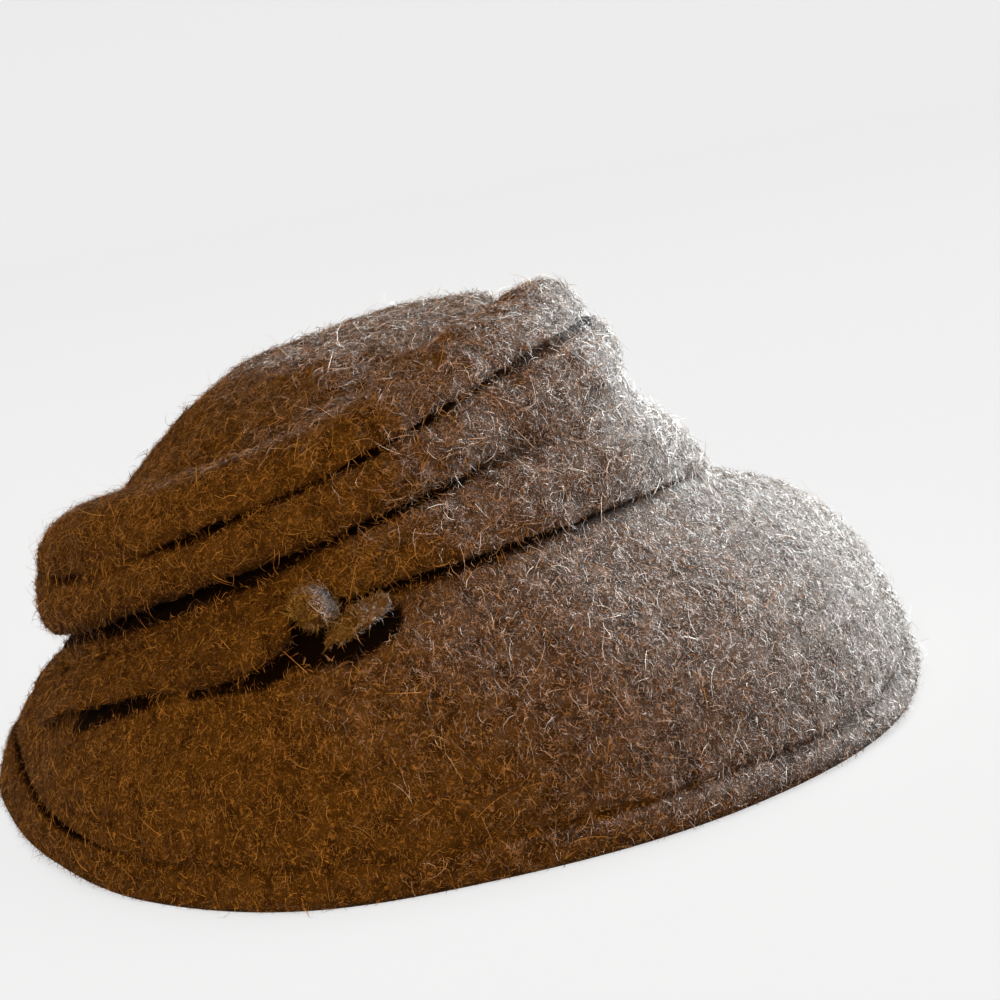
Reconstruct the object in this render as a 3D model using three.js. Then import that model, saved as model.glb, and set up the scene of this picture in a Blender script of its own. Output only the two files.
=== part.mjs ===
import * as THREE from 'three';

// Felt hat with a draped crown in three folds, a bell brim with a turned hem, and a felt tie.
// Millimetres, +Z up. The front of the hat faces -Y and the brim edge rests on z = 0.
// A bearing is an angle in degrees round the hat, from the front (-Y) towards +X.
// A radius is measured from the upright axis through the middle of the head opening, which stands
// a little behind and to one side of the middle of the brim, where the origin is.

const HEAD_AXIS = { x: -11.2, y: 7.9 };
const FELT = 3.0;
const PIECE_GAP = 0.4;
const BEARINGS = 60;
const FOLD_STEPS = 6;
const DOME_STEPS = 6;
const FOLD_SAG = 1.2;

// Each row is one bearing. seat: where the crown stands on the brim. low, high: the two creases.
// cap: the valley between the top fold and the dome. bulge: how far a fold stands out.
const CROWN_SECTIONS = [
  { bearing: 15, seatR: 103.0, seatZ: 68.5, lowR: 90.9, lowZ: 90.5, highR: 81.8, highZ: 112.6,
    capR: 52.4, capZ: 116.2, bottomBulge: 5.1, middleBulge: 4.3, topBulge: 7.4 },
  { bearing: 35, seatR: 99.0, seatZ: 63.5, lowR: 79.4, lowZ: 88.4, highR: 71.5, highZ: 109.0,
    capR: 49.7, capZ: 116.1, bottomBulge: 4.7, middleBulge: 2.4, topBulge: 9.5 },
  { bearing: 58, seatR: 94.5, seatZ: 55.5, lowR: 75.6, lowZ: 85.1, highR: 70.1, highZ: 107.3,
    capR: 47.2, capZ: 114.8, bottomBulge: 3.0, middleBulge: 4.6, topBulge: 5.2 },
  { bearing: 100, seatR: 91.5, seatZ: 46.5, lowR: 80.2, lowZ: 74.0, highR: 72.8, highZ: 93.9,
    capR: 51.7, capZ: 105.9, bottomBulge: 5.0, middleBulge: 4.0, topBulge: 6.3 },
  { bearing: 145, seatR: 96.5, seatZ: 34.0, lowR: 88.0, lowZ: 58.0, highR: 82.0, highZ: 78.0,
    capR: 62.0, capZ: 94.0, bottomBulge: 5.0, middleBulge: 5.0, topBulge: 6.0 },
  { bearing: 190, seatR: 103.0, seatZ: 28.0, lowR: 97.0, lowZ: 44.0, highR: 92.3, highZ: 62.2,
    capR: 70.3, capZ: 77.5, bottomBulge: 4.5, middleBulge: 5.5, topBulge: 2.4 },
  { bearing: 235, seatR: 93.1, seatZ: 33.9, lowR: 94.3, lowZ: 42.4, highR: 98.4, highZ: 61.6,
    capR: 73.2, capZ: 76.7, bottomBulge: 1.6, middleBulge: 3.8, topBulge: 6.8 },
  { bearing: 262, seatR: 91.0, seatZ: 42.5, lowR: 88.5, lowZ: 51.0, highR: 90.0, highZ: 66.0,
    capR: 68.2, capZ: 84.9, bottomBulge: 3.5, middleBulge: 6.0, topBulge: 9.0 },
  { bearing: 288, seatR: 92.5, seatZ: 52.5, lowR: 89.5, lowZ: 61.0, highR: 86.5, highZ: 76.0,
    capR: 69.0, capZ: 92.5, bottomBulge: 4.2, middleBulge: 6.0, topBulge: 7.0 },
  { bearing: 310, seatR: 96.0, seatZ: 60.0, lowR: 92.0, lowZ: 71.0, highR: 87.5, highZ: 85.5,
    capR: 69.5, capZ: 99.5, bottomBulge: 5.2, middleBulge: 6.0, topBulge: 6.5 },
  { bearing: 330, seatR: 100.0, seatZ: 65.0, lowR: 95.0, lowZ: 80.5, highR: 89.0, highZ: 95.5,
    capR: 64.5, capZ: 105.5, bottomBulge: 6.0, middleBulge: 6.0, topBulge: 6.5 },
  { bearing: 352, seatR: 103.5, seatZ: 68.5, lowR: 95.0, lowZ: 88.0, highR: 87.0, highZ: 106.5,
    capR: 56.0, capZ: 113.5, bottomBulge: 5.8, middleBulge: 5.2, topBulge: 7.4 },
];

// The highest point of the dome sits off the axis. The rise is the share of the height gained
// at a share of the way from the valley to that point.
const DOME_TOP = { bearing: 64, radius: 33.4, height: 118.0 };
const DOME_RISE = [
  { way: 0, rise: 0 },
  { way: 0.12, rise: 0.284 },
  { way: 0.25, rise: 0.564 },
  { way: 0.4, rise: 0.771 },
  { way: 0.55, rise: 0.85 },
  { way: 0.75, rise: 0.93 },
  { way: 1, rise: 1 },
];

// bell: how far the brim stands above the straight line from the seat to the edge.
// hem: width of the turned edge, out to the line that holds it.
const BRIM_SECTIONS = [
  { bearing: 0, edgeR: 150.8, edgeZ: 0, bell: 13.2, hem: 8.8 },
  { bearing: 20, edgeR: 154.4, edgeZ: 0, bell: 14.0, hem: 8.5 },
  { bearing: 40, edgeR: 149.2, edgeZ: 0, bell: 11.6, hem: 9.0 },
  { bearing: 60, edgeR: 146.3, edgeZ: 4.6, bell: 13.2, hem: 9.5 },
  { bearing: 85, edgeR: 148.2, edgeZ: 16, bell: 7.6, hem: 10.0 },
  { bearing: 115, edgeR: 139.0, edgeZ: 6, bell: 6.0, hem: 10.0 },
  { bearing: 150, edgeR: 138.0, edgeZ: 0, bell: 6.0, hem: 10.0 },
  { bearing: 195, edgeR: 134.0, edgeZ: 0, bell: 5.6, hem: 11.0 },
  { bearing: 235, edgeR: 123.6, edgeZ: 0, bell: 4.9, hem: 13.6 },
  { bearing: 255, edgeR: 120.0, edgeZ: 0.4, bell: 1.6, hem: 12.2 },
  { bearing: 275, edgeR: 124.8, edgeZ: 1.2, bell: 6.0, hem: 11.4 },
  { bearing: 295, edgeR: 134.5, edgeZ: 0, bell: 8.5, hem: 10.6 },
  { bearing: 315, edgeR: 143.4, edgeZ: 0, bell: 9.6, hem: 10.0 },
  { bearing: 335, edgeR: 144.6, edgeZ: 0, bell: 11.0, hem: 9.6 },
];
const BELL_SKEW = 1.12;
const ARC_TO_CHORD = 1.12;
const BODY_STEPS = 7;
const LAND_WIDTH = 3.0;
const LAND_THICK = 2.4;
const HEM_EXTRA = 0.9;
const GROOVE_DEPTH = 1.4;
const EDGE_THICK = 1.6;
const EDGE_TUCK = 0.8;
const EDGE_FLAT = 2.6;
const HALVINGS = 24;

// out: middle of the strip, outside the crown seat. lift: height of that middle above the brim.
// halfWide, halfThick: half sizes across the brim slope. lean: degrees that the outer edge stands up.
const TIE_SECTIONS = [
  { bearing: 206, out: 8.0, lift: 1.9, halfWide: 4.0, halfThick: 1.2, lean: 0 },
  { bearing: 222, out: 8.6, lift: 2.0, halfWide: 5.0, halfThick: 1.2, lean: 0 },
  { bearing: 240, out: 9.4, lift: 2.7, halfWide: 6.2, halfThick: 1.2, lean: 3 },
  { bearing: 258, out: 10.6, lift: 4.3, halfWide: 7.2, halfThick: 1.3, lean: 9 },
  { bearing: 272, out: 10.8, lift: 3.9, halfWide: 7.2, halfThick: 1.3, lean: 11 },
  { bearing: 284, out: 10.8, lift: 3.3, halfWide: 6.9, halfThick: 1.6, lean: 7 },
  { bearing: 292, out: 10.8, lift: 3.4, halfWide: 6.7, halfThick: 2.0, lean: 2 },
  { bearing: 297, out: 11.7, lift: 4.2, halfWide: 7.7, halfThick: 2.6, lean: 0 },
  { bearing: 303, out: 12.7, lift: 5.4, halfWide: 8.5, halfThick: 3.4, lean: 1 },
  { bearing: 309, out: 12.2, lift: 6.3, halfWide: 8.2, halfThick: 3.9, lean: 2 },
  { bearing: 314.9, out: 10.6, lift: 6.4, halfWide: 6.8, halfThick: 4.1, lean: 3 },
];
const TIE_STATIONS = 28;
const TIE_ROUND = 10;
const STRIP_SQUARENESS = 0.75;

// The knob is a rounded lump on the end of the rolled strip, and the tail is a cut strip beyond it.
const KNOB_RINGS = 8;
const KNOB_ROUND = 12;
const KNOB_DIMPLE = 0.07;
const KNOB = { bearing: 318.3, out: 9.4, lift: 8.4, along: 5.6, across: 5.4, high: 5.6 };
const TAIL_SECTIONS = [
  { bearing: 320.4, out: 12.4, lift: 3.6, halfWide: 2.0, halfThick: 1.1, lean: -4 },
  { bearing: 321.8, out: 11.8, lift: 4.4, halfWide: 3.1, halfThick: 1.2, lean: -6 },
  { bearing: 324.6, out: 10.4, lift: 5.2, halfWide: 3.4, halfThick: 1.3, lean: -8 },
  { bearing: 328.2, out: 9.0, lift: 5.4, halfWide: 3.2, halfThick: 1.3, lean: -10 },
];
const TAIL_STATIONS = 9;

// Smooth closed curve through a table's rows, read at any bearing.
function readTable(rows, column, bearing) {
  const count = rows.length;
  const angle = ((bearing % 360) + 360) % 360;
  let after = rows.findIndex((row) => row.bearing > angle);
  if (after < 0) {
    after = count;
  }
  const at = (index) => {
    const turn = Math.floor(index / count);
    const row = rows[index - turn * count];
    return { angle: row.bearing + 360 * turn, value: row[column] };
  };
  const a = at(after - 2);
  const b = at(after - 1);
  const c = at(after);
  const d = at(after + 1);
  const span = c.angle - b.angle;
  const t = (angle - b.angle) / span;
  const slopeB = (c.value - a.value) / (c.angle - a.angle) * span;
  const slopeC = (d.value - b.value) / (d.angle - b.angle) * span;
  return hermite(b.value, c.value, slopeB, slopeC, t);
}

function hermite(from, to, slopeFrom, slopeTo, t) {
  const t2 = t * t;
  const t3 = t2 * t;
  return (2 * t3 - 3 * t2 + 1) * from + (t3 - 2 * t2 + t) * slopeFrom
    + (3 * t2 - 2 * t3) * to + (t3 - t2) * slopeTo;
}

// Smooth open curve through a table's rows, read at any value of its key column.
function readOpenTable(rows, key, column, at) {
  let index = 0;
  while (index < rows.length - 2 && rows[index + 1][key] < at) {
    index += 1;
  }
  const from = rows[index];
  const to = rows[index + 1];
  const before = rows[Math.max(0, index - 1)];
  const after = rows[Math.min(rows.length - 1, index + 2)];
  const span = to[key] - from[key];
  const t = Math.min(1, Math.max(0, (at - from[key]) / span));
  const slopeFrom = (to[column] - before[column]) / (to[key] - before[key]) * span;
  const slopeTo = (after[column] - from[column]) / (after[key] - from[key]) * span;
  return hermite(from[column], to[column], slopeFrom, slopeTo, t);
}

function place(bearing, radius, height) {
  const angle = THREE.MathUtils.degToRad(bearing);
  return new THREE.Vector3(radius * Math.sin(angle), -radius * Math.cos(angle), height);
}

// Point t of the way along a round fold that bulges outwards between two creases.
function foldPoint(lower, upper, bulge, t) {
  const dr = upper.r - lower.r;
  const dz = upper.z - lower.z;
  const chord = Math.hypot(dr, dz);
  const alongR = dr / chord;
  const alongZ = dz / chord;
  const radius = (chord * chord / 4 + bulge * bulge) / (2 * bulge);
  const half = Math.atan2(chord / 2, radius - bulge);
  const turn = -half + 2 * half * t;
  const along = chord / 2 + radius * Math.sin(turn) - FOLD_SAG * Math.sin(Math.PI * t);
  const out = radius * Math.cos(turn) - (radius - bulge);
  return { r: lower.r + alongR * along + alongZ * out, z: lower.z + alongZ * along - alongR * out };
}

function crownColumn(bearing) {
  const read = (column) => readTable(CROWN_SECTIONS, column, bearing);
  const seat = { r: read('seatR'), z: read('seatZ') };
  const low = { r: read('lowR'), z: read('lowZ') };
  const high = { r: read('highR'), z: read('highZ') };
  const cap = { r: read('capR'), z: read('capZ') };
  const folds = [
    { from: seat, to: low, bulge: read('bottomBulge') },
    { from: low, to: high, bulge: read('middleBulge') },
    { from: high, to: cap, bulge: read('topBulge') },
  ];
  const points = [];
  for (const fold of folds) {
    for (let step = 0; step < FOLD_STEPS; step += 1) {
      const point = foldPoint(fold.from, fold.to, fold.bulge, step / FOLD_STEPS);
      points.push(place(bearing, point.r, point.z));
    }
  }
  const rim = place(bearing, cap.r, cap.z);
  points.push(rim);
  const top = place(DOME_TOP.bearing, DOME_TOP.radius, DOME_TOP.height);
  for (let step = 1; step < DOME_STEPS; step += 1) {
    const t = step / DOME_STEPS;
    const point = rim.clone().lerp(top, t);
    point.z = rim.z + (top.z - rim.z) * readOpenTable(DOME_RISE, 'way', 'rise', t);
    points.push(point);
  }
  return points;
}

// Moves every point of a grid inwards by a wall's thickness, along the average normal there.
function innerGrid(columns, thickness) {
  const around = columns.length;
  return columns.map((column, j) => column.map((point, i) => {
    const next = columns[(j + 1) % around][i];
    const before = columns[(j + around - 1) % around][i];
    const above = column[Math.min(i + 1, column.length - 1)];
    const below = column[Math.max(i - 1, 0)];
    const sideways = next.clone().sub(before);
    const upwards = above.clone().sub(below);
    const normal = sideways.cross(upwards).normalize();
    return point.clone().addScaledVector(normal, -thickness);
  }));
}

function meshFrom(name, points, faces, material) {
  const geometry = new THREE.BufferGeometry();
  const positions = points.flatMap((point) => [point.x, point.y, point.z]);
  geometry.setAttribute('position', new THREE.Float32BufferAttribute(positions, 3));
  geometry.setIndex(faces);
  geometry.computeVertexNormals();
  const mesh = new THREE.Mesh(geometry, material);
  mesh.name = name;
  return mesh;
}

// Hollow dome: the chain of each column runs up the inside reversed, over the rim and up the outside.
function domeSolid(name, outer, inner, outerTop, innerTop, material) {
  const around = outer.length;
  const chains = outer.map((column, j) => [...inner[j]].reverse().concat(column));
  const length = chains[0].length;
  const points = chains.flat();
  const faces = [];
  for (let j = 0; j < around; j += 1) {
    const here = j * length;
    const next = ((j + 1) % around) * length;
    for (let i = 0; i < length - 1; i += 1) {
      faces.push(here + i, next + i, next + i + 1, here + i, next + i + 1, here + i + 1);
    }
  }
  const outerIndex = points.push(outerTop) - 1;
  const innerIndex = points.push(innerTop) - 1;
  for (let j = 0; j < around; j += 1) {
    const here = j * length;
    const next = ((j + 1) % around) * length;
    faces.push(here + length - 1, next + length - 1, outerIndex);
    faces.push(next, here, innerIndex);
  }
  return meshFrom(name, points, faces, material);
}

// Solid swept through a list of loops with the same number of points.
function sweptSolid(name, loops, isRing, material) {
  const size = loops[0].length;
  const points = loops.flat();
  const faces = [];
  const links = isRing ? loops.length : loops.length - 1;
  for (let j = 0; j < links; j += 1) {
    const here = j * size;
    const next = ((j + 1) % loops.length) * size;
    for (let i = 0; i < size; i += 1) {
      const k = (i + 1) % size;
      faces.push(here + i, next + i, next + k, here + i, next + k, here + k);
    }
  }
  if (!isRing) {
    const last = (loops.length - 1) * size;
    const centre = (loop) => loop.reduce((sum, p) => sum.add(p), new THREE.Vector3()).divideScalar(size);
    const startIndex = points.push(centre(loops[0])) - 1;
    const endIndex = points.push(centre(loops[loops.length - 1])) - 1;
    for (let i = 0; i < size; i += 1) {
      const k = (i + 1) % size;
      faces.push(startIndex, i, k);
      faces.push(endIndex, last + k, last + i);
    }
  }
  return meshFrom(name, points, faces, material);
}

// Brim's top line at one bearing: t = 0 at the crown seat, t = 1 at the edge.
function brimLine(bearing) {
  const seatR = readTable(CROWN_SECTIONS, 'seatR', bearing);
  const seatZ = readTable(CROWN_SECTIONS, 'seatZ', bearing) - PIECE_GAP;
  const edgeR = readTable(BRIM_SECTIONS, 'edgeR', bearing);
  const edgeZ = Math.max(0, readTable(BRIM_SECTIONS, 'edgeZ', bearing));
  const bell = readTable(BRIM_SECTIONS, 'bell', bearing);
  const hemWidth = readTable(BRIM_SECTIONS, 'hem', bearing);
  const dr = edgeR - seatR;
  const dz = edgeZ - seatZ;
  const chord = Math.hypot(dr, dz);
  const point = (t) => {
    const rise = bell * Math.sin(Math.PI * Math.pow(Math.max(t, 0), BELL_SKEW));
    return { r: seatR + dr * t - dz / chord * rise, z: seatZ + dz * t + dr / chord * rise };
  };
  const normal = (t) => {
    const a = point(Math.max(0, t - 0.01));
    const b = point(Math.min(1, t + 0.01));
    const length = Math.hypot(b.r - a.r, b.z - a.z);
    return { r: -(b.z - a.z) / length, z: (b.r - a.r) / length };
  };
  return { seatR, seatZ, edgeR, edgeZ, chord, hemWidth, point, normal };
}

function brimLoop(bearing) {
  const line = brimLine(bearing);
  const hem = line.hemWidth / (line.chord * ARC_TO_CHORD);
  const raised = (t, height) => {
    const p = line.point(t);
    const n = line.normal(t);
    return { r: p.r + n.r * height, z: p.z + n.z * height };
  };
  const top = [];
  top.push({ r: line.edgeR, z: line.edgeZ + EDGE_THICK });
  top.push(raised(1 - hem * 0.4, HEM_EXTRA * 0.7));
  top.push(raised(1 - hem * 0.8, HEM_EXTRA * 0.5));
  top.push(raised(1 - hem, -GROOVE_DEPTH));
  top.push(raised(1 - hem * 1.2, 0));
  for (let step = 1; step <= BODY_STEPS; step += 1) {
    top.push(raised((1 - hem * 1.2) * (1 - step / BODY_STEPS), 0));
  }
  const land = [
    { r: line.seatR - LAND_WIDTH, z: line.seatZ },
    { r: line.seatR - LAND_WIDTH, z: line.seatZ - LAND_THICK },
  ];
  const under = [];
  for (let step = 1; step <= BODY_STEPS; step += 1) {
    under.push(raised((1 - hem) * step / BODY_STEPS, -FELT));
  }
  under.push(raised(1 - hem * 0.4, -FELT - HEM_EXTRA));
  const foot = [
    { r: line.edgeR - EDGE_TUCK - EDGE_FLAT, z: line.edgeZ },
    { r: line.edgeR - EDGE_TUCK, z: line.edgeZ },
  ];
  return [...top, ...land, ...under, ...foot].map((p) => place(bearing, p.r, p.z));
}

// Height of the brim's top at a distance outside the crown seat, found by halving.
function brimHeight(line, out) {
  let low = 0;
  let high = 1;
  for (let step = 0; step < HALVINGS; step += 1) {
    const middle = (low + high) / 2;
    if (line.point(middle).r < line.seatR + out) {
      low = middle;
    } else {
      high = middle;
    }
  }
  return line.point(low).z;
}

// One rounded section of the tie or its tail, lying along the slope of the brim.
function stripLoop(rows, bearing) {
  const read = (column) => readOpenTable(rows, 'bearing', column, bearing);
  const line = brimLine(bearing);
  const out = read('out');
  const halfWide = read('halfWide');
  const halfThick = read('halfThick');
  const near = brimHeight(line, out - halfWide);
  const far = brimHeight(line, out + halfWide);
  const slope = Math.atan2(far - near, 2 * halfWide) + THREE.MathUtils.degToRad(read('lean'));
  const middleZ = (near + far) / 2 + read('lift');
  const loop = [];
  for (let step = 0; step < TIE_ROUND; step += 1) {
    const turn = 2 * Math.PI * step / TIE_ROUND;
    const c = Math.cos(turn);
    const s = Math.sin(turn);
    const wide = halfWide * Math.sign(c) * Math.pow(Math.abs(c), STRIP_SQUARENESS);
    const thick = halfThick * Math.sign(s) * Math.pow(Math.abs(s), STRIP_SQUARENESS);
    const r = line.seatR + out + wide * Math.cos(slope) - thick * Math.sin(slope);
    const z = middleZ + wide * Math.sin(slope) + thick * Math.cos(slope);
    loop.push(place(bearing, r, z));
  }
  return loop;
}

function stripSolid(name, rows, stations, material) {
  const first = rows[0].bearing;
  const last = rows[rows.length - 1].bearing;
  const loops = [];
  for (let station = 0; station < stations; station += 1) {
    loops.push(stripLoop(rows, first + (last - first) * station / (stations - 1)));
  }
  return sweptSolid(name, loops, false, material);
}

function knobSolid(name, material) {
  const line = brimLine(KNOB.bearing);
  const centre = place(KNOB.bearing, line.seatR + KNOB.out, brimHeight(line, KNOB.out) + KNOB.lift);
  const across = place(KNOB.bearing, 1, 0);
  const along = new THREE.Vector3(0, 0, 1).cross(across).normalize();
  const points = [];
  for (let ring = 1; ring < KNOB_RINGS; ring += 1) {
    const tilt = Math.PI * ring / KNOB_RINGS;
    for (let step = 0; step < KNOB_ROUND; step += 1) {
      const turn = 2 * Math.PI * step / KNOB_ROUND;
      const dimple = 1 - KNOB_DIMPLE * Math.cos(3 * turn + 1.5 * tilt);
      const point = centre.clone();
      point.addScaledVector(across, KNOB.across * Math.sin(tilt) * Math.cos(turn) * dimple);
      point.addScaledVector(along, KNOB.along * Math.sin(tilt) * Math.sin(turn) * dimple);
      point.z += KNOB.high * Math.cos(tilt);
      points.push(point);
    }
  }
  const faces = [];
  for (let ring = 0; ring < KNOB_RINGS - 2; ring += 1) {
    for (let step = 0; step < KNOB_ROUND; step += 1) {
      const k = (step + 1) % KNOB_ROUND;
      const a = ring * KNOB_ROUND;
      const b = a + KNOB_ROUND;
      faces.push(a + step, b + step, b + k, a + step, b + k, a + k);
    }
  }
  const topIndex = points.push(centre.clone().add(new THREE.Vector3(0, 0, KNOB.high))) - 1;
  const footIndex = points.push(centre.clone().add(new THREE.Vector3(0, 0, -KNOB.high))) - 1;
  const lastRing = (KNOB_RINGS - 2) * KNOB_ROUND;
  for (let step = 0; step < KNOB_ROUND; step += 1) {
    const k = (step + 1) % KNOB_ROUND;
    faces.push(topIndex, step, k);
    faces.push(footIndex, lastRing + k, lastRing + step);
  }
  return meshFrom(name, points, faces, material);
}

const feltMaterial = new THREE.MeshStandardMaterial({ name: 'felt', color: 0x7c6c60, roughness: 0.95 });
const knobMaterial = new THREE.MeshStandardMaterial({ name: 'knob_felt', color: 0x8c8078, roughness: 0.95 });

const bearings = Array.from({ length: BEARINGS }, (_, index) => index * 360 / BEARINGS);
const crownOuter = bearings.map(crownColumn);
const crownInner = innerGrid(crownOuter, FELT);
for (let j = 0; j < BEARINGS; j += 1) {
  const seatR = readTable(CROWN_SECTIONS, 'seatR', bearings[j]);
  crownInner[j][0] = place(bearings[j], seatR - FELT, crownOuter[j][0].z);
}
const outerTop = place(DOME_TOP.bearing, DOME_TOP.radius, DOME_TOP.height);
const innerTop = outerTop.clone().add(new THREE.Vector3(0, 0, -FELT));

const hat = new THREE.Group();
hat.name = 'draped_felt_hat';
hat.position.set(HEAD_AXIS.x, HEAD_AXIS.y, 0);
hat.add(domeSolid('crown', crownOuter, crownInner, outerTop, innerTop, feltMaterial));
hat.add(sweptSolid('brim', bearings.map(brimLoop), true, feltMaterial));
hat.add(stripSolid('tie', TIE_SECTIONS, TIE_STATIONS, feltMaterial));
hat.add(knobSolid('tie_knob', knobMaterial));
hat.add(stripSolid('tie_tail', TAIL_SECTIONS, TAIL_STATIONS, feltMaterial));

export default hat;
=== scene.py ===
"""Looks of a felt hat: draped crown in three folds, bell brim with a turned hem, and a felt tie."""

import math

import bpy
import numpy as np
from mathutils import Matrix, Vector
from mathutils.kdtree import KDTree


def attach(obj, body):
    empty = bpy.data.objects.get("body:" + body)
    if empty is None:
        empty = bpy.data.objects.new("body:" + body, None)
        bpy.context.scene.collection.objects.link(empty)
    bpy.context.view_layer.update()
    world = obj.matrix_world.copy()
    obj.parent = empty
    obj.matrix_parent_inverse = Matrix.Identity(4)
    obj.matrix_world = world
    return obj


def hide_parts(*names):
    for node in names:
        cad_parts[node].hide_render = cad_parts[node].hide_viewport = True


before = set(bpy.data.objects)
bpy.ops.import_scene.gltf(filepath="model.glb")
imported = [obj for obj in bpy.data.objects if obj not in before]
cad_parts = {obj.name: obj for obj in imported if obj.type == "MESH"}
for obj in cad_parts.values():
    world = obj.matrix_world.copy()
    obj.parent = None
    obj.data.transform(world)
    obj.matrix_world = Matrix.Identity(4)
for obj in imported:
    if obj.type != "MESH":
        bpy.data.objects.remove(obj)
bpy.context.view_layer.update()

MM = 0.001
HEAD_AXIS = (-11.2, 7.9)

# Camera at the photograph's viewing angle
CAMERA_AZIMUTH = -35.0
CAMERA_ELEVATION = 13.0
CAMERA_ROLL = 10.0
CAMERA_DISTANCE = 650.0
CAMERA_TARGET = (18.87, -13.78, 57.79)
CAMERA_LENS = 80.26
CAMERA_SENSOR = 36.0


def direction_to(bearing, elevation):
    angle = math.radians(bearing)
    height = math.radians(elevation)
    return Vector((
        math.sin(angle) * math.cos(height),
        -math.cos(angle) * math.cos(height),
        math.sin(height),
    ))


def add_camera():
    roll = math.radians(CAMERA_ROLL)
    back = direction_to(CAMERA_AZIMUTH, CAMERA_ELEVATION)
    level = direction_to(CAMERA_AZIMUTH + 90, 0)
    upright = back.cross(level)
    right = level * math.cos(roll) - upright * math.sin(roll)
    up = level * math.sin(roll) + upright * math.cos(roll)
    place = (Vector(CAMERA_TARGET) + back * CAMERA_DISTANCE) * MM
    data = bpy.data.cameras.new("camera")
    data.lens = CAMERA_LENS
    data.sensor_width = CAMERA_SENSOR
    data.clip_start = 0.01
    data.clip_end = 30.0
    camera = bpy.data.objects.new("camera", data)
    turn = Matrix((right, up, back)).transposed()
    camera.matrix_world = Matrix.Translation(place) @ turn.to_4x4()
    bpy.context.scene.collection.objects.link(camera)
    bpy.context.scene.camera = camera


add_camera()


# Tables of the hat's shape, in millimetres, read by bearing from the front towards +X
def rows_of(columns, rows):
    values = np.array(rows, dtype=float)
    return {name: values[:, i] for i, name in enumerate(columns)}


# Radius and height of the seat, the two creases and the valley, and how far each fold stands out
CROWN = rows_of((
    "bearing", "seat_r", "seat_z", "low_r", "low_z", "high_r", "high_z",
    "cap_r", "cap_z", "bottom", "middle", "top",
), [
    (15, 103, 68.5, 90.9, 90.5, 81.8, 112.6, 52.4, 116.2, 5.1, 4.3, 7.4),
    (35, 99, 63.5, 79.4, 88.4, 71.5, 109, 49.7, 116.1, 4.7, 2.4, 9.5),
    (58, 94.5, 55.5, 75.6, 85.1, 70.1, 107.3, 47.2, 114.8, 3, 4.6, 5.2),
    (100, 91.5, 46.5, 80.2, 74, 72.8, 93.9, 51.7, 105.9, 5, 4, 6.3),
    (145, 96.5, 34, 88, 58, 82, 78, 62, 94, 5, 5, 6),
    (190, 103, 28, 97, 44, 92.3, 62.2, 70.3, 77.5, 4.5, 5.5, 2.4),
    (235, 93.1, 33.9, 94.3, 42.4, 98.4, 61.6, 73.2, 76.7, 1.6, 3.8, 6.8),
    (262, 91, 42.5, 88.5, 51, 90, 66, 68.2, 84.9, 3.5, 6, 9),
    (288, 92.5, 52.5, 89.5, 61, 86.5, 76, 69, 92.5, 4.2, 6, 7),
    (310, 96, 60, 92, 71, 87.5, 85.5, 69.5, 99.5, 5.2, 6, 6.5),
    (330, 100, 65, 95, 80.5, 89, 95.5, 64.5, 105.5, 6, 6, 6.5),
    (352, 103.5, 68.5, 95, 88, 87, 106.5, 56, 113.5, 5.8, 5.2, 7.4),
])

# rise: share of the height gained at a share of the way from the valley to the top
DOME_RISE = rows_of(("way", "rise"), [
    (0, 0), (0.12, 0.284), (0.25, 0.564), (0.4, 0.771), (0.55, 0.85), (0.75, 0.93), (1, 1),
])

# How each crease looks. round: how far the felt bends on each side of it. deep, wide: depth and
# half width of its slot. rise: degrees that the slot slants upwards. lip: sag of the fold above.
CREASE = ("bearing", "round", "deep", "wide", "rise", "lip")
LOW_CREASE = rows_of(CREASE, [
    (0, 8, 0.2, 2, 0, 0), (30, 12, 0, 2.4, 0, 0), (70, 9, 0.4, 2.4, 0, 0.1),
    (120, 3.5, 1.8, 1.9, 10, 0.4), (200, 2.2, 3, 2.1, 15, 0.6), (240, 1.5, 4.2, 2.5, 18, 0.6),
    (262, 1.2, 5.4, 3.2, 20, 0.5), (286, 1.2, 6.4, 3.7, 20, 0.4), (308, 1.2, 6.4, 3.5, 18, 0.4),
    (322, 1.2, 4.8, 2.4, 14, 0.5), (334, 1.6, 3.4, 1.6, 10, 0.5), (345, 4, 1.6, 1.7, 5, 0.2),
])
HIGH_CREASE = rows_of(CREASE, [
    (0, 1.6, 1.3, 2, 4, 1.6), (18, 1.5, 1.2, 2.2, 0, 1.6), (34, 1, 3.4, 1.5, -5, 0.9),
    (42, 1, 7, 2, -5, 0.5), (58, 1.6, 4, 1.7, 0, 0.4), (120, 3, 1.6, 1.6, 5, 0.3),
    (200, 5, 0.8, 1.8, 0, 0.2), (246, 6, 0.2, 1.4, 5, 0), (257, 3.4, 1.7, 1.3, 8, 0.3),
    (268, 6, 0.3, 1.3, 5, 0), (284, 4, 0.8, 1.5, 5, 0.1), (293, 2, 3.2, 1.8, 10, 0.5),
    (312, 1.4, 3.6, 1.5, 8, 0.7), (334, 1.2, 3, 1.5, 6, 1.2),
])
CAP_CREASE = rows_of(CREASE, [
    (0, 7, 0.5, 2, -70, 0), (30, 3, 1.4, 1.6, -70, 0), (45, 1.2, 3.4, 1.6, -75, 0),
    (60, 1.4, 3, 1.6, -75, 0), (110, 4, 1, 2, -65, 0), (180, 6, 0.4, 2, -60, 0),
    (235, 2.6, 1.4, 1.5, -55, 0), (262, 3, 1.1, 1.4, -55, 0), (285, 4, 0.8, 1.4, -55, 0),
    (304, 8, 0.2, 1.8, -60, 0), (340, 9, 0.1, 2, -70, 0),
])
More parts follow.
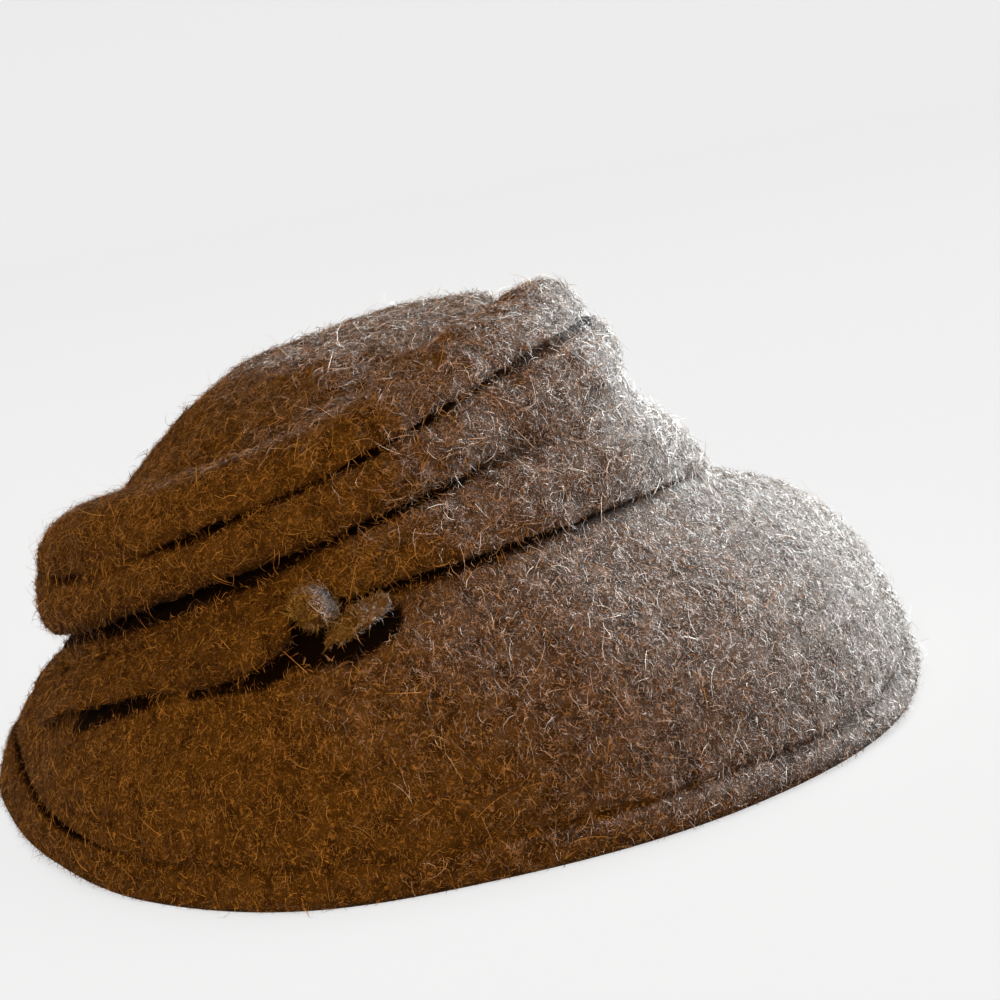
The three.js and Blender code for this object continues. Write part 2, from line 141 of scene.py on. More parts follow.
# Where the crown meets the brim. dark: how deep the painted shade in the join is.
SEAT_LINE = rows_of(("bearing", "dark"), [
    (0, 0.6), (10, 0.35), (22, 0.15), (45, 0.1), (90, 0.2), (200, 0.5), (240, 0.3), (262, 0),
    (300, 0), (308, 0.95), (340, 1),
])
# Soft dents and ridges that run up the folds. out: how far they stand out. half: half their width.
CORNERS = rows_of(("bearing", "out", "half"), [(350, -2.4, 11), (12, 2.4, 10), (34, -1, 10)])
# They rise over a stretch above the seat, and fade over one that ends past the high crease
CORNER_START = 3
CORNER_RISE = 12
CORNER_PAST = 8
CORNER_FALL = 10
LIP_REACH = 0.9
LIP_SWELL = 0.35
SEAT_DROP = 0.3
SEAT_SAG = 0.8
SEAT_REACH = 2.6
CREASE_WOBBLE = 0.25
CREASE_WOBBLE_SIZE = 22.0
LEAST_ROUND = 0.3
LEAST_WIDE = 0.8
# Painted shade in the felt's recesses. A deep cut is painted dark, mostly below its middle, with a
# softer halo round it, and the hair beside it is short. Painted shade in the join at the seat fades
# within a short reach.
PAINTED_SHADE_DEPTH = 2.6
CUT_DEPTH = 4.0
CUT_START = 0.3
BELOW = 0.3
SHADE_HALO = 0.4
SHADE_HALO_WIDE = 1.7
HAIR_CLEAR = 1.2
JOIN_SHARE = 1.6
JOIN_SHADE = 1.2
JOIN_SHELTER = 1.6
BRIM_JOIN_SHARE = 1.7
BRIM_JOIN_SHADE = 1.3

# bell: how far the brim stands above a straight line to its edge. hem: width of the turned edge.
BRIM = rows_of(("bearing", "edge_r", "edge_z", "bell", "hem"), [
    (0, 150.8, 0, 13.2, 8.8), (20, 154.4, 0, 14, 8.5), (40, 149.2, 0, 11.6, 9),
    (60, 146.3, 4.6, 13.2, 9.5), (85, 148.2, 16, 7.6, 10), (115, 139, 6, 6, 10),
    (150, 138, 0, 6, 10), (195, 134, 0, 5.6, 11), (235, 123.6, 0, 4.9, 17),
    (255, 120, 0.4, 1.6, 13.6), (275, 124.8, 1.2, 6, 11.8), (295, 134.5, 0, 8.5, 10.6),
    (315, 143.4, 0, 9.6, 10), (335, 144.6, 0, 11, 9.6),
])
# The line of stitches that holds the hem. deep: its depth. wide: its half width. roll: hem's rise.
HEM_LINE = rows_of(("bearing", "deep", "wide", "roll"), [
    (15, 1.5, 1.7, 1.3), (60, 1.4, 1.5, 1.1), (180, 1.8, 1, 0.9), (220, 3.8, 1.8, 0.7),
    (250, 4.4, 1.6, 0.6), (270, 4, 1.1, 0.6), (282, 2.8, 0.8, 0.6), (292, 1.5, 0.6, 0.6),
    (330, 1.1, 1, 0.9),
])

# out: middle of the strip, outside the crown's seat. lift: height of that middle above the brim.
# half_wide, half_thick: half sizes across the brim's slope. lean: degrees that its outer edge rises.
STRIP = ("bearing", "out", "lift", "half_wide", "half_thick", "lean")
TIE = rows_of(STRIP, [
    (206, 8, 1.9, 4, 1.2, 0), (222, 8.6, 2, 5, 1.2, 0), (240, 9.4, 2.7, 6.2, 1.2, 3),
    (258, 10.6, 4.3, 7.2, 1.3, 9), (272, 10.8, 3.9, 7.2, 1.3, 11), (284, 10.8, 3.3, 6.9, 1.6, 7),
    (292, 10.8, 3.4, 6.7, 2, 2), (297, 11.7, 4.2, 7.7, 2.6, 0), (303, 12.7, 5.4, 8.5, 3.4, 1),
    (309, 12.2, 6.3, 8.2, 3.9, 2), (314.9, 10.6, 6.4, 6.8, 4.1, 3),
])
TAIL = rows_of(STRIP, [
    (319.4, 13.4, 2.9, 3.2, 1.2, -4), (321.4, 12.2, 4.2, 3.5, 1.3, -6),
    (324.6, 10.4, 5.2, 3.6, 1.5, -8), (328.4, 8.9, 5.4, 3.5, 1.5, -10),
])
KNOB = {"bearing": 318.3, "out": 9.4, "lift": 8.4, "along": 5.6, "across": 5.4, "high": 5.6}

FELT = 3.0
PIECE_GAP = 0.4
FOLD_SAG = 1.2
BELL_SKEW = 1.12
ARC_TO_CHORD = 1.12
LAND_WIDTH = 3.0
LAND_THICK = 2.4
EDGE_FLAT = 2.6
EDGE_TUCK = 0.9


# Smooth curves through the tables
def hermite(a, b, slope_a, slope_b, t):
    t2 = t * t
    t3 = t2 * t
    return (
        (2 * t3 - 3 * t2 + 1) * a + (t3 - 2 * t2 + t) * slope_a
        + (3 * t2 - 2 * t3) * b + (t3 - t2) * slope_b
    )


def around(rows, column, bearings):
    angles = np.mod(bearings, 360.0)
    keys = rows["bearing"]
    values = rows[column]
    count = len(keys)
    after = np.searchsorted(keys, angles, side="right")

    def at(index):
        turn = np.floor_divide(index, count)
        place = index - turn * count
        return keys[place] + 360.0 * turn, values[place]

    key_a, a = at(after - 2)
    key_b, b = at(after - 1)
    key_c, c = at(after)
    key_d, d = at(after + 1)
    span = key_c - key_b
    t = (angles - key_b) / span
    t = np.where(t < 0, t + 360.0 / span, t)
    slope_b = (c - a) / (key_c - key_a) * span
    slope_c = (d - b) / (key_d - key_b) * span
    return hermite(b, c, slope_b, slope_c, t)


def read_all(rows, bearings):
    return {column: around(rows, column, bearings) for column in rows}


def along(rows, key, column, places):
    keys = rows[key]
    values = rows[column]
    index = np.clip(np.searchsorted(keys, places, side="left") - 1, 0, len(keys) - 2)
    before = np.maximum(index - 1, 0)
    after = np.minimum(index + 2, len(keys) - 1)
    span = keys[index + 1] - keys[index]
    t = np.clip((places - keys[index]) / span, 0, 1)
    slope_a = (values[index + 1] - values[before]) / (keys[index + 1] - keys[before]) * span
    slope_b = (values[after] - values[index]) / (keys[after] - keys[index]) * span
    return hermite(values[index], values[index + 1], slope_a, slope_b, t)


def bend(a, b, c, t):
    return (1 - t) ** 2 * a + 2 * t * (1 - t) * b + t ** 2 * c


def unit(vectors):
    return vectors / np.maximum(np.linalg.norm(vectors, axis=-1, keepdims=True), 1e-9)


# Rises evenly from 0 at the start to 1 at the end of a run
def climb_over(values, start, run):
    return np.clip((values - start) / run, 0, 1)


def place(bearings, radius, height):
    angle = np.radians(bearings)
    x = radius * np.sin(angle)
    y = -radius * np.cos(angle)
    return np.stack(np.broadcast_arrays(x, y, height), axis=-1)


# Smooth noise: a sum of waves in random directions
def wave_noise(points, size, seed, waves=28):
    rng = np.random.default_rng(seed)
    directions = unit(rng.normal(size=(waves, 3)))
    lengths = size * rng.uniform(0.7, 1.5, waves)
    phases = rng.uniform(0, 2 * np.pi, waves)
    total = np.zeros(points.shape[:-1])
    for direction, length, phase in zip(directions, lengths, phases):
        total += np.sin(points @ (direction * 2 * np.pi / length) + phase)
    return total / math.sqrt(waves / 2)


def felt_bumps(points, seed, heights):
    bumps = np.zeros(points.shape[:-1])
    for order, (size, height) in enumerate(heights):
        bumps += height * wave_noise(points, size, seed + order)
    return bumps


# Each row: size across and height of one layer of bumps
CROWN_BUMPS = [(26.0, 0.26), (10.0, 0.18), (4.0, 0.1)]
BRIM_BUMPS = [(40.0, 0.16), (10.0, 0.07), (4.0, 0.05)]
TRIM_BUMPS = [(12.0, 0.2), (5.0, 0.16), (2.5, 0.1)]
SEEDS = {"crown": 11, "hem": 31, "crease": 50, "brim": 71, "tie": 81, "tail": 86, "knob": 91, "hair": 200}


# Grids of points to meshes
def grid_normals(grid):
    sideways = np.roll(grid, -1, axis=0) - np.roll(grid, 1, axis=0)
    return unit(np.cross(sideways, np.gradient(grid, axis=1)))


def ring_faces(around_count, along_count, closed_along):
    j = np.arange(around_count)[:, None]
    links = along_count if closed_along else along_count - 1
    i = np.arange(links)[None, :]
    next_j = (j + 1) % around_count
    next_i = (i + 1) % along_count
    a = j * along_count + i
    b = next_j * along_count + i
    c = next_j * along_count + next_i
    d = j * along_count + next_i
    return np.stack([a, b, c, d], axis=-1).reshape(-1, 4)


def fan_faces(ring, centre, turned=False):
    corners = np.stack([ring, np.roll(ring, -1), np.full_like(ring, centre)], axis=1)
    return corners[:, [1, 0, 2]] if turned else corners


def to_frame(points):
    shifted = np.array(points, dtype=float)
    shifted[:, 0] += HEAD_AXIS[0]
    shifted[:, 1] += HEAD_AXIS[1]
    return shifted * MM


def mesh_object(name, points, faces, materials, slots=None, painted_shade=None, smooth=True):
    mesh = bpy.data.meshes.new(name)
    points = np.asarray(points, dtype=np.float32)
    sizes = np.concatenate([np.full(len(part), part.shape[1]) for part in faces])
    corners = np.concatenate([part.reshape(-1) for part in faces])
    starts = np.cumsum(sizes) - sizes
    mesh.vertices.add(len(points))
    mesh.vertices.foreach_set("co", points.reshape(-1))
    mesh.loops.add(len(corners))
    mesh.loops.foreach_set("vertex_index", corners.astype(np.int32))
    mesh.polygons.add(len(sizes))
    mesh.polygons.foreach_set("loop_start", starts.astype(np.int32))
    mesh.polygons.foreach_set("use_smooth", np.full(len(sizes), smooth))
    for material in materials:
        mesh.materials.append(material)
    if slots is not None:
        mesh.polygons.foreach_set("material_index", slots.astype(np.int32))
    # Painted shade at each point, which the felt material reads
    if painted_shade is not None:
        layer = mesh.attributes.new("painted_shade", "FLOAT", "POINT")
        layer.data.foreach_set("value", np.asarray(painted_shade, dtype=np.float32))
    mesh.update(calc_edges=True)
    mesh.validate()
    made = bpy.data.objects.new(name, mesh)
    bpy.context.scene.collection.objects.link(made)
    return made


# Materials
FIBRE_BANDS = 7.0
FIBRE_HEIGHT = 0.5
FIBRE_SHARE = 0.55
MOTTLE_SHARE = 0.5
# Near black of the painted shade in creases, joins and under the tie
PAINTED_SHADE_COLOUR = (0.004, 0.003, 0.002)


def new_material(name, roughness, specular):
    material = bpy.data.materials.new(name)
    material.use_nodes = True
    shader = material.node_tree.nodes["Principled BSDF"]
    shader.inputs["Roughness"].default_value = roughness
    shader.inputs["Specular IOR Level"].default_value = specular
    return material, material.node_tree, shader


def add_node(tree, kind, **values):
    node = tree.nodes.new(kind)
    for name, value in values.items():
        setattr(node, name, value)
    return node


def ramp_of(tree, source, stops):
    ramp = add_node(tree, "ShaderNodeValToRGB")
    while len(ramp.color_ramp.elements) < len(stops):
        ramp.color_ramp.elements.new(0.5)
    for element, (position, colour) in zip(ramp.color_ramp.elements, stops):
        element.position = position
        element.color = (*colour, 1.0)
    tree.links.new(source, ramp.inputs["Fac"])
    return ramp.outputs["Color"]


def math_node(tree, operation, a, b):
    node = add_node(tree, "ShaderNodeMath", operation=operation)
    for socket, value in zip(node.inputs, (a, b)):
        if isinstance(value, (int, float)):
            socket.default_value = value
        else:
            tree.links.new(value, socket)
    return node.outputs["Value"]


def noise_node(tree, coordinates, size, detail, offset=0.0):
    mapping = add_node(tree, "ShaderNodeMapping")
    mapping.inputs["Location"].default_value = (offset, -0.7 * offset, 1.3 * offset)
    tree.links.new(coordinates, mapping.inputs["Vector"])
    noise = add_node(tree, "ShaderNodeTexNoise")
    noise.inputs["Scale"].default_value = 1.0 / (size * MM)
    noise.inputs["Detail"].default_value = detail
    tree.links.new(mapping.outputs["Vector"], noise.inputs["Vector"])
    return noise.outputs["Fac"]


# Curling fibres: thin contour lines of a smooth noise, broken up by a second noise
def fibre_layer(tree, coordinates, size, offset):
    swirl = noise_node(tree, coordinates, size, 1.0, offset)
    bands = math_node(tree, "FRACT", math_node(tree, "MULTIPLY", swirl, FIBRE_BANDS), 0.0)
    black = (0.0, 0.0, 0.0)
    white = (1.0, 1.0, 1.0)
    lines = ramp_of(tree, bands, [(0.34, black), (0.5, white), (0.66, black)])
    broken = noise_node(tree, coordinates, size * 0.6, 1.0, offset + 3.0)
    mask = ramp_of(tree, broken, [(0.44, black), (0.54, white)])
    return math_node(tree, "MULTIPLY", lines, mask)


def felt_material(name, dark, middle, light):
    material, tree, shader = new_material(name, 0.92, 0.04)
    coordinates = add_node(tree, "ShaderNodeTexCoord").outputs["Object"]
    fibres = fibre_layer(tree, coordinates, 3.2, 0.0)
    for size, offset in ((2.4, 11.0), (1.8, 23.0)):
        fibres = math_node(tree, "MAXIMUM", fibres, fibre_layer(tree, coordinates, size, offset))
    mottle = noise_node(tree, coordinates, 5.0, 4.0, 31.0)
    shade = math_node(tree, "MULTIPLY", fibres, FIBRE_SHARE)
    shade = math_node(tree, "ADD", shade, math_node(tree, "MULTIPLY", mottle, MOTTLE_SHARE))
    # Painted shade: the felt's colour falls to near black as the shade attribute nears 1
    painted_shade = add_node(tree, "ShaderNodeAttribute", attribute_name="painted_shade").outputs["Fac"]
    unshaded_share = math_node(tree, "SUBTRACT", 1.0, painted_shade)
    unshaded_share = math_node(tree, "POWER", unshaded_share, 2.0)
    shade = math_node(tree, "MULTIPLY", shade, unshaded_share)
    colour = ramp_of(tree, shade, [(0.02, PAINTED_SHADE_COLOUR), (0.2, dark), (0.42, middle), (0.8, light)])
    tree.links.new(colour, shader.inputs["Base Color"])
    bump = add_node(tree, "ShaderNodeBump")
    bump.inputs["Strength"].default_value = 1.0
    bump.inputs["Distance"].default_value = FIBRE_HEIGHT * MM
    tree.links.new(shade, bump.inputs["Height"])
    tree.links.new(bump.outputs["Normal"], shader.inputs["Normal"])
    return material


def hair_material(name, dark, light, size):
    material, tree, shader = new_material(name, 0.6, 0.3)
    coordinates = add_node(tree, "ShaderNodeTexCoord").outputs["Object"]
    noise = noise_node(tree, coordinates, size, 3.0)
    colour = ramp_of(tree, noise, [(0.36, dark), (0.64, light)])
    tree.links.new(colour, shader.inputs["Base Color"])
    return material


felt = felt_material("felt", (0.042, 0.032, 0.025), (0.145, 0.116, 0.094), (0.36, 0.31, 0.27))
# A lighter, greyer copy of the felt for the knob and tail: painted cool daylight on them
knob_felt = felt_material("knob_felt", (0.06, 0.052, 0.046), (0.18, 0.165, 0.15), (0.4, 0.38, 0.36))
HAIR_SHADES = [
    hair_material("hair_dark", (0.05, 0.034, 0.023), (0.12, 0.09, 0.068), 3.0),
    hair_material("hair_taupe", (0.14, 0.11, 0.087), (0.28, 0.23, 0.19), 3.0),
    hair_material("hair_light", (0.34, 0.285, 0.235), (0.56, 0.49, 0.42), 3.0),
    hair_material("hair_cream", (0.55, 0.47, 0.37), (0.84, 0.76, 0.63), 9.0),
    # Grey hair for the knob and tail: painted cool daylight
    hair_material("hair_daylit_grey", (0.2, 0.21, 0.22), (0.62, 0.65, 0.68), 5.0),
    # Near-black hair: painted shade on hair rooted in the painted shade
    hair_material("hair_in_shadow", (0.008, 0.006, 0.004), (0.03, 0.022, 0.016), 3.0),
]
DARK, TAUPE, LIGHT, CREAM, DAYLIT_GREY, SHADOW = range(6)


# Crown: three folds and the dome, as one felt shell
CROWN_BEARINGS = 480
FOLD_ROWS = 20
DOME_ROWS = 34
INNER_ROWS = 34
INNER_SMOOTHING = 14
DOME_TOP = place(64, 33.4, 118.0)
FOLD_GATHER = 0.62
DOME_GATHER = 1.25
TOP_CALM = 0.08
SEAT_CALM = 0.04


def fold_curve(lower, upper, bulge, t):
    dr = upper[0] - lower[0]
    dz = upper[1] - lower[1]
    chord = np.hypot(dr, dz)
    along_r = dr / chord
    along_z = dz / chord
    radius = (chord * chord / 4 + bulge * bulge) / (2 * bulge)
    half = np.arctan2(chord / 2, radius - bulge)
    turn = -half + 2 * half * t
    way = chord / 2 + radius * np.sin(turn) - FOLD_SAG * np.sin(np.pi * t)
    out = radius * np.cos(turn) - (radius - bulge)
    return lower[0] + along_r * way + along_z * out, lower[1] + along_z * way - along_r * out


def dome_curve(bearings, rim_r, rim_z, t):
    rim = place(bearings, rim_r, rim_z)
    points = rim + (DOME_TOP - rim) * t[..., None]
    points[..., 2] = rim_z + (DOME_TOP[2] - rim_z) * along(DOME_RISE, "way", "rise", t)
    return points


class CrownShape:
    """Reads the crown's outer surface at fold number 0 to 3 and a share of the way up that fold."""

    def __init__(self, bearings):
        self.bearings = bearings
        read = read_all(CROWN, bearings)
        knots = ("seat", "low", "high", "cap")
        self.knots = [(read[knot + "_r"], read[knot + "_z"]) for knot in knots]
        self.bulges = [read["bottom"], read["middle"], read["top"]]

    def point(self, fold, t):
        if fold < 3:
            r, z = fold_curve(self.knots[fold], self.knots[fold + 1], self.bulges[fold], t)
            return place(self.bearings, r, z)
        rim_r, rim_z = self.knots[3]
        return dome_curve(self.bearings, rim_r, rim_z, np.broadcast_to(t, rim_r.shape))

    def length(self, fold):
        steps = np.linspace(0, 1, 9)
        points = [self.point(fold, np.full_like(self.bearings, t)) for t in steps]
        return sum(np.linalg.norm(b - a, axis=-1) for a, b in zip(points, points[1:]))


def crown_grid():
    bearings = np.arange(CROWN_BEARINGS) * 360.0 / CROWN_BEARINGS
    shape = CrownShape(bearings)
    lengths = [shape.length(fold) for fold in range(4)]
    share = np.arange(FOLD_ROWS) / FOLD_ROWS
    gathered = share - FOLD_GATHER * np.sin(2 * np.pi * share) / (2 * np.pi)
    dome_gathered = (np.arange(DOME_ROWS) / DOME_ROWS) ** DOME_GATHER
    rows = [(fold, t) for fold in range(3) for t in gathered] + [(3, t) for t in dome_gathered]
    grid = np.stack([shape.point(fold, np.full_like(bearings, t)) for fold, t in rows], axis=1)

    # Signed distance of each row from each crease, along the felt
    starts = np.cumsum([np.zeros_like(bearings)] + lengths[:3], axis=0)
    reach = np.stack([starts[fold] + lengths[fold] * t for fold, t in rows], axis=1)
    creases = [(1, LOW_CREASE), (2, HIGH_CREASE), (3, CAP_CREASE)]
    rounded = grid.copy()
    for index, table in creases:
        width = np.maximum(around(table, "round", bearings), LEAST_ROUND)
        below = shape.point(index - 1, 1 - width / lengths[index - 1])
        above = shape.point(index, width / lengths[index])
        corner = shape.point(index, np.zeros_like(bearings))
        gap = reach - starts[index][:, None]
        t = np.clip((gap + width[:, None]) / (2 * width[:, None]), 0, 1)[..., None]
        bent = bend(below[:, None], corner[:, None], above[:, None], t)
        inside = (np.abs(gap) < width[:, None])[..., None]
        rounded = np.where(inside, bent, rounded)
    outward = place(bearings, 1.0, 0.0)[:, None]
    upward = np.array([0.0, 0.0, 1.0])
    painted_shade = np.zeros_like(reach)
    shelter = np.zeros_like(reach)
    for index, table in creases:
        read = read_all(table, bearings[:, None])
        gap = reach - starts[index][:, None]
        deep = np.maximum(read["deep"], 0)
        wide = np.maximum(read["wide"], LEAST_WIDE)
        slant = np.radians(read["rise"])[..., None]
        line = shape.point(index, np.zeros_like(bearings))
        noise = wave_noise(line, CREASE_WOBBLE_SIZE, SEEDS["crease"] + index)
        wobble = 1 + CREASE_WOBBLE * noise[:, None]
        slot = deep * np.exp(-np.abs(gap / wide) ** 3)
        # Painted shade along the crease, mostly below its middle, with a softer halo; the hair beside it
        # is short
        lower = gap + wide * BELOW
        dark = deep * np.exp(-np.abs(lower / wide) ** 4)
        painted_shade = np.maximum(painted_shade, np.clip(dark / PAINTED_SHADE_DEPTH, 0, 1))
        cut = np.clip(deep / CUT_DEPTH - CUT_START, 0, 1)
        painted_shade = np.maximum(painted_shade, SHADE_HALO * cut * np.exp(-(gap / (wide * SHADE_HALO_WIDE)) ** 2))
        shelter = np.maximum(shelter, cut * np.exp(-np.abs(gap / (wide + HAIR_CLEAR)) ** 4))
        inwards = upward * np.sin(slant) - outward * np.cos(slant)
        rounded = rounded + inwards * (slot * wobble)[..., None]
        over = np.clip(gap, 0, None) / (wide + LIP_REACH)
        sag = np.maximum(read["lip"], 0) * wobble * over * np.exp(1 - over)
        rounded = rounded + (outward * LIP_SWELL - upward) * sag[..., None]
    over = reach / SEAT_REACH
    sag = SEAT_SAG * over * np.exp(1 - over)
    rounded = rounded + (outward - 0.5 * upward) * sag[..., None]
    fade = (starts[2][:, None] + CORNER_PAST - reach) / CORNER_FALL
    share = climb_over(reach, CORNER_START, CORNER_RISE) * np.clip(fade, 0, 1)
    for middle, out, half in zip(CORNERS["bearing"], CORNERS["out"], CORNERS["half"]):
        aside = (bearings - middle + 180) % 360 - 180
        swell = out * np.exp(-(aside / half) ** 2)[:, None] * share ** 2 * (3 - 2 * share)
        rounded = rounded + outward * swell[..., None]
    # Painted shade in the join at the seat, where the hair also stays short
    dark = np.clip(around(SEAT_LINE, "dark", bearings), 0, 1)[:, None]
    painted_shade = np.maximum(painted_shade, dark * np.clip(JOIN_SHARE - reach / JOIN_SHADE, 0, 1))
    shelter = np.maximum(shelter, dark * np.clip(JOIN_SHARE - reach / JOIN_SHELTER, 0, 1))
    return bearings, rounded, painted_shade, shelter


def smooth_rows(grid, rounds):
    made = grid.copy()
    for _ in range(rounds):
        made[:, 1:-1] = made[:, 1:-1] * 0.5 + (made[:, :-2] + made[:, 2:]) * 0.25
        made = made * 0.5 + (np.roll(made, 1, axis=0) + np.roll(made, -1, axis=0)) * 0.25
    return made


def build_crown():
    bearings, grid, painted_shade, shelter = crown_grid()
    # The bumps fade out towards the seat and the top
    way = np.linspace(0, 1, grid.shape[1])
    share = np.clip((1 - way) / TOP_CALM, 0, 1) * np.clip(way / SEAT_CALM, 0, 1)
    bumps = felt_bumps(grid, SEEDS["crown"], CROWN_BUMPS) * share[None, :]
    outer = grid + grid_normals(grid) * bumps[..., None]

    picked = np.linspace(0, grid.shape[1] - 1, INNER_ROWS).round().astype(int)
    base = smooth_rows(grid, INNER_SMOOTHING)[:, picked]
    inner = base - grid_normals(base) * FELT
    seat_r = around(CROWN, "seat_r", bearings)
    seat_z = around(CROWN, "seat_z", bearings) - SEAT_DROP
    outer[:, 0] = place(bearings, seat_r, seat_z)
    inner[:, 0] = place(bearings, seat_r - FELT, seat_z)

    chain = np.concatenate([inner[:, ::-1], outer], axis=1)
    # Painted shade on the outer surface only, none on the lining
    shade = np.concatenate([np.zeros(inner.shape[:2]), painted_shade], axis=1)
    shade = np.concatenate([shade.reshape(-1), [0.0, 0.0]])
    count = chain.shape[1]
    points = chain.reshape(-1, 3)
    faces = ring_faces(CROWN_BEARINGS, count, False)
    top = len(points)
    points = np.concatenate([points, [DOME_TOP, DOME_TOP - [0, 0, FELT]]])
    first = np.arange(CROWN_BEARINGS) * count
    cap = fan_faces(first + count - 1, top)
    lining = fan_faces(first, top + 1, turned=True)
    crown = mesh_object("crown_felt", to_frame(points), [faces, cap, lining], [felt], painted_shade=shade)
    return crown, outer, inner, painted_shade, shelter


# Brim: top, turned hem with its line of stitches, rounded edge and underside
BRIM_BEARINGS = 480
HALVINGS = 24
STITCHES_PER_DEGREE = 0.45
STITCH_SHARE = 0.25
HEM_DRIFT = 0.4
HEM_DRIFT_SIZE = 60.0
HEM_START = 2.2
HEM_ZONE = 22.0
HEM_ROWS = 52
EDGE_CORNER = (0.5, 1.2)
EDGE_ROWS = 5
BODY_ROWS = 30
UNDER_ROWS = 21
# Underside of the hem: share of the hem's width from the edge, and how far it hangs below the felt
HEM_UNDER = [(1.0, 0.9), (0.75, 1.2), (0.4, 0.9)]
# A groove this deep starts to get painted shade, and has full painted shade that much deeper
DARK_GROOVE = 1.2
DARK_GROOVE_RUN = 1.6
UNDER_THE_TIE = (200, 336)


class BrimShape:
    """Reads the brim's top line at shares of the way from the crown seat to the edge."""

    def __init__(self, bearings):
        crown = read_all(CROWN, bearings)
        brim = read_all(BRIM, bearings)
        self.seat_r = crown["seat_r"]
        self.seat_z = crown["seat_z"] - PIECE_GAP
        self.edge_r = brim["edge_r"]
        self.edge_z = np.maximum(0, brim["edge_z"])
        self.bell = brim["bell"]
        self.hem = brim["hem"]
        self.dr = self.edge_r - self.seat_r
        self.dz = self.edge_z - self.seat_z
        self.chord = np.hypot(self.dr, self.dz)

    def line(self, t):
        rise = self.bell * np.sin(np.pi * np.maximum(t, 0) ** BELL_SKEW)
        r = self.seat_r + self.dr * t - self.dz / self.chord * rise
        z = self.seat_z + self.dz * t + self.dr / self.chord * rise
        return r, z

    def raised(self, t, height):
        r, z = self.line(t)
        before = self.line(np.maximum(0, t - 0.01))
        after = self.line(np.minimum(1, t + 0.01))
        run = after[0] - before[0]
        fall = after[1] - before[1]
        length = np.hypot(run, fall)
        return r - fall / length * height, z + run / length * height

    def height_at(self, out):
        low = np.zeros_like(self.seat_r)
        high = np.ones_like(self.seat_r)
        for _ in range(HALVINGS):
            middle = (low + high) / 2
            nearer = self.line(middle)[0] < self.seat_r + out
            low = np.where(nearer, middle, low)
            high = np.where(nearer, high, middle)
        return self.line(low)[1]


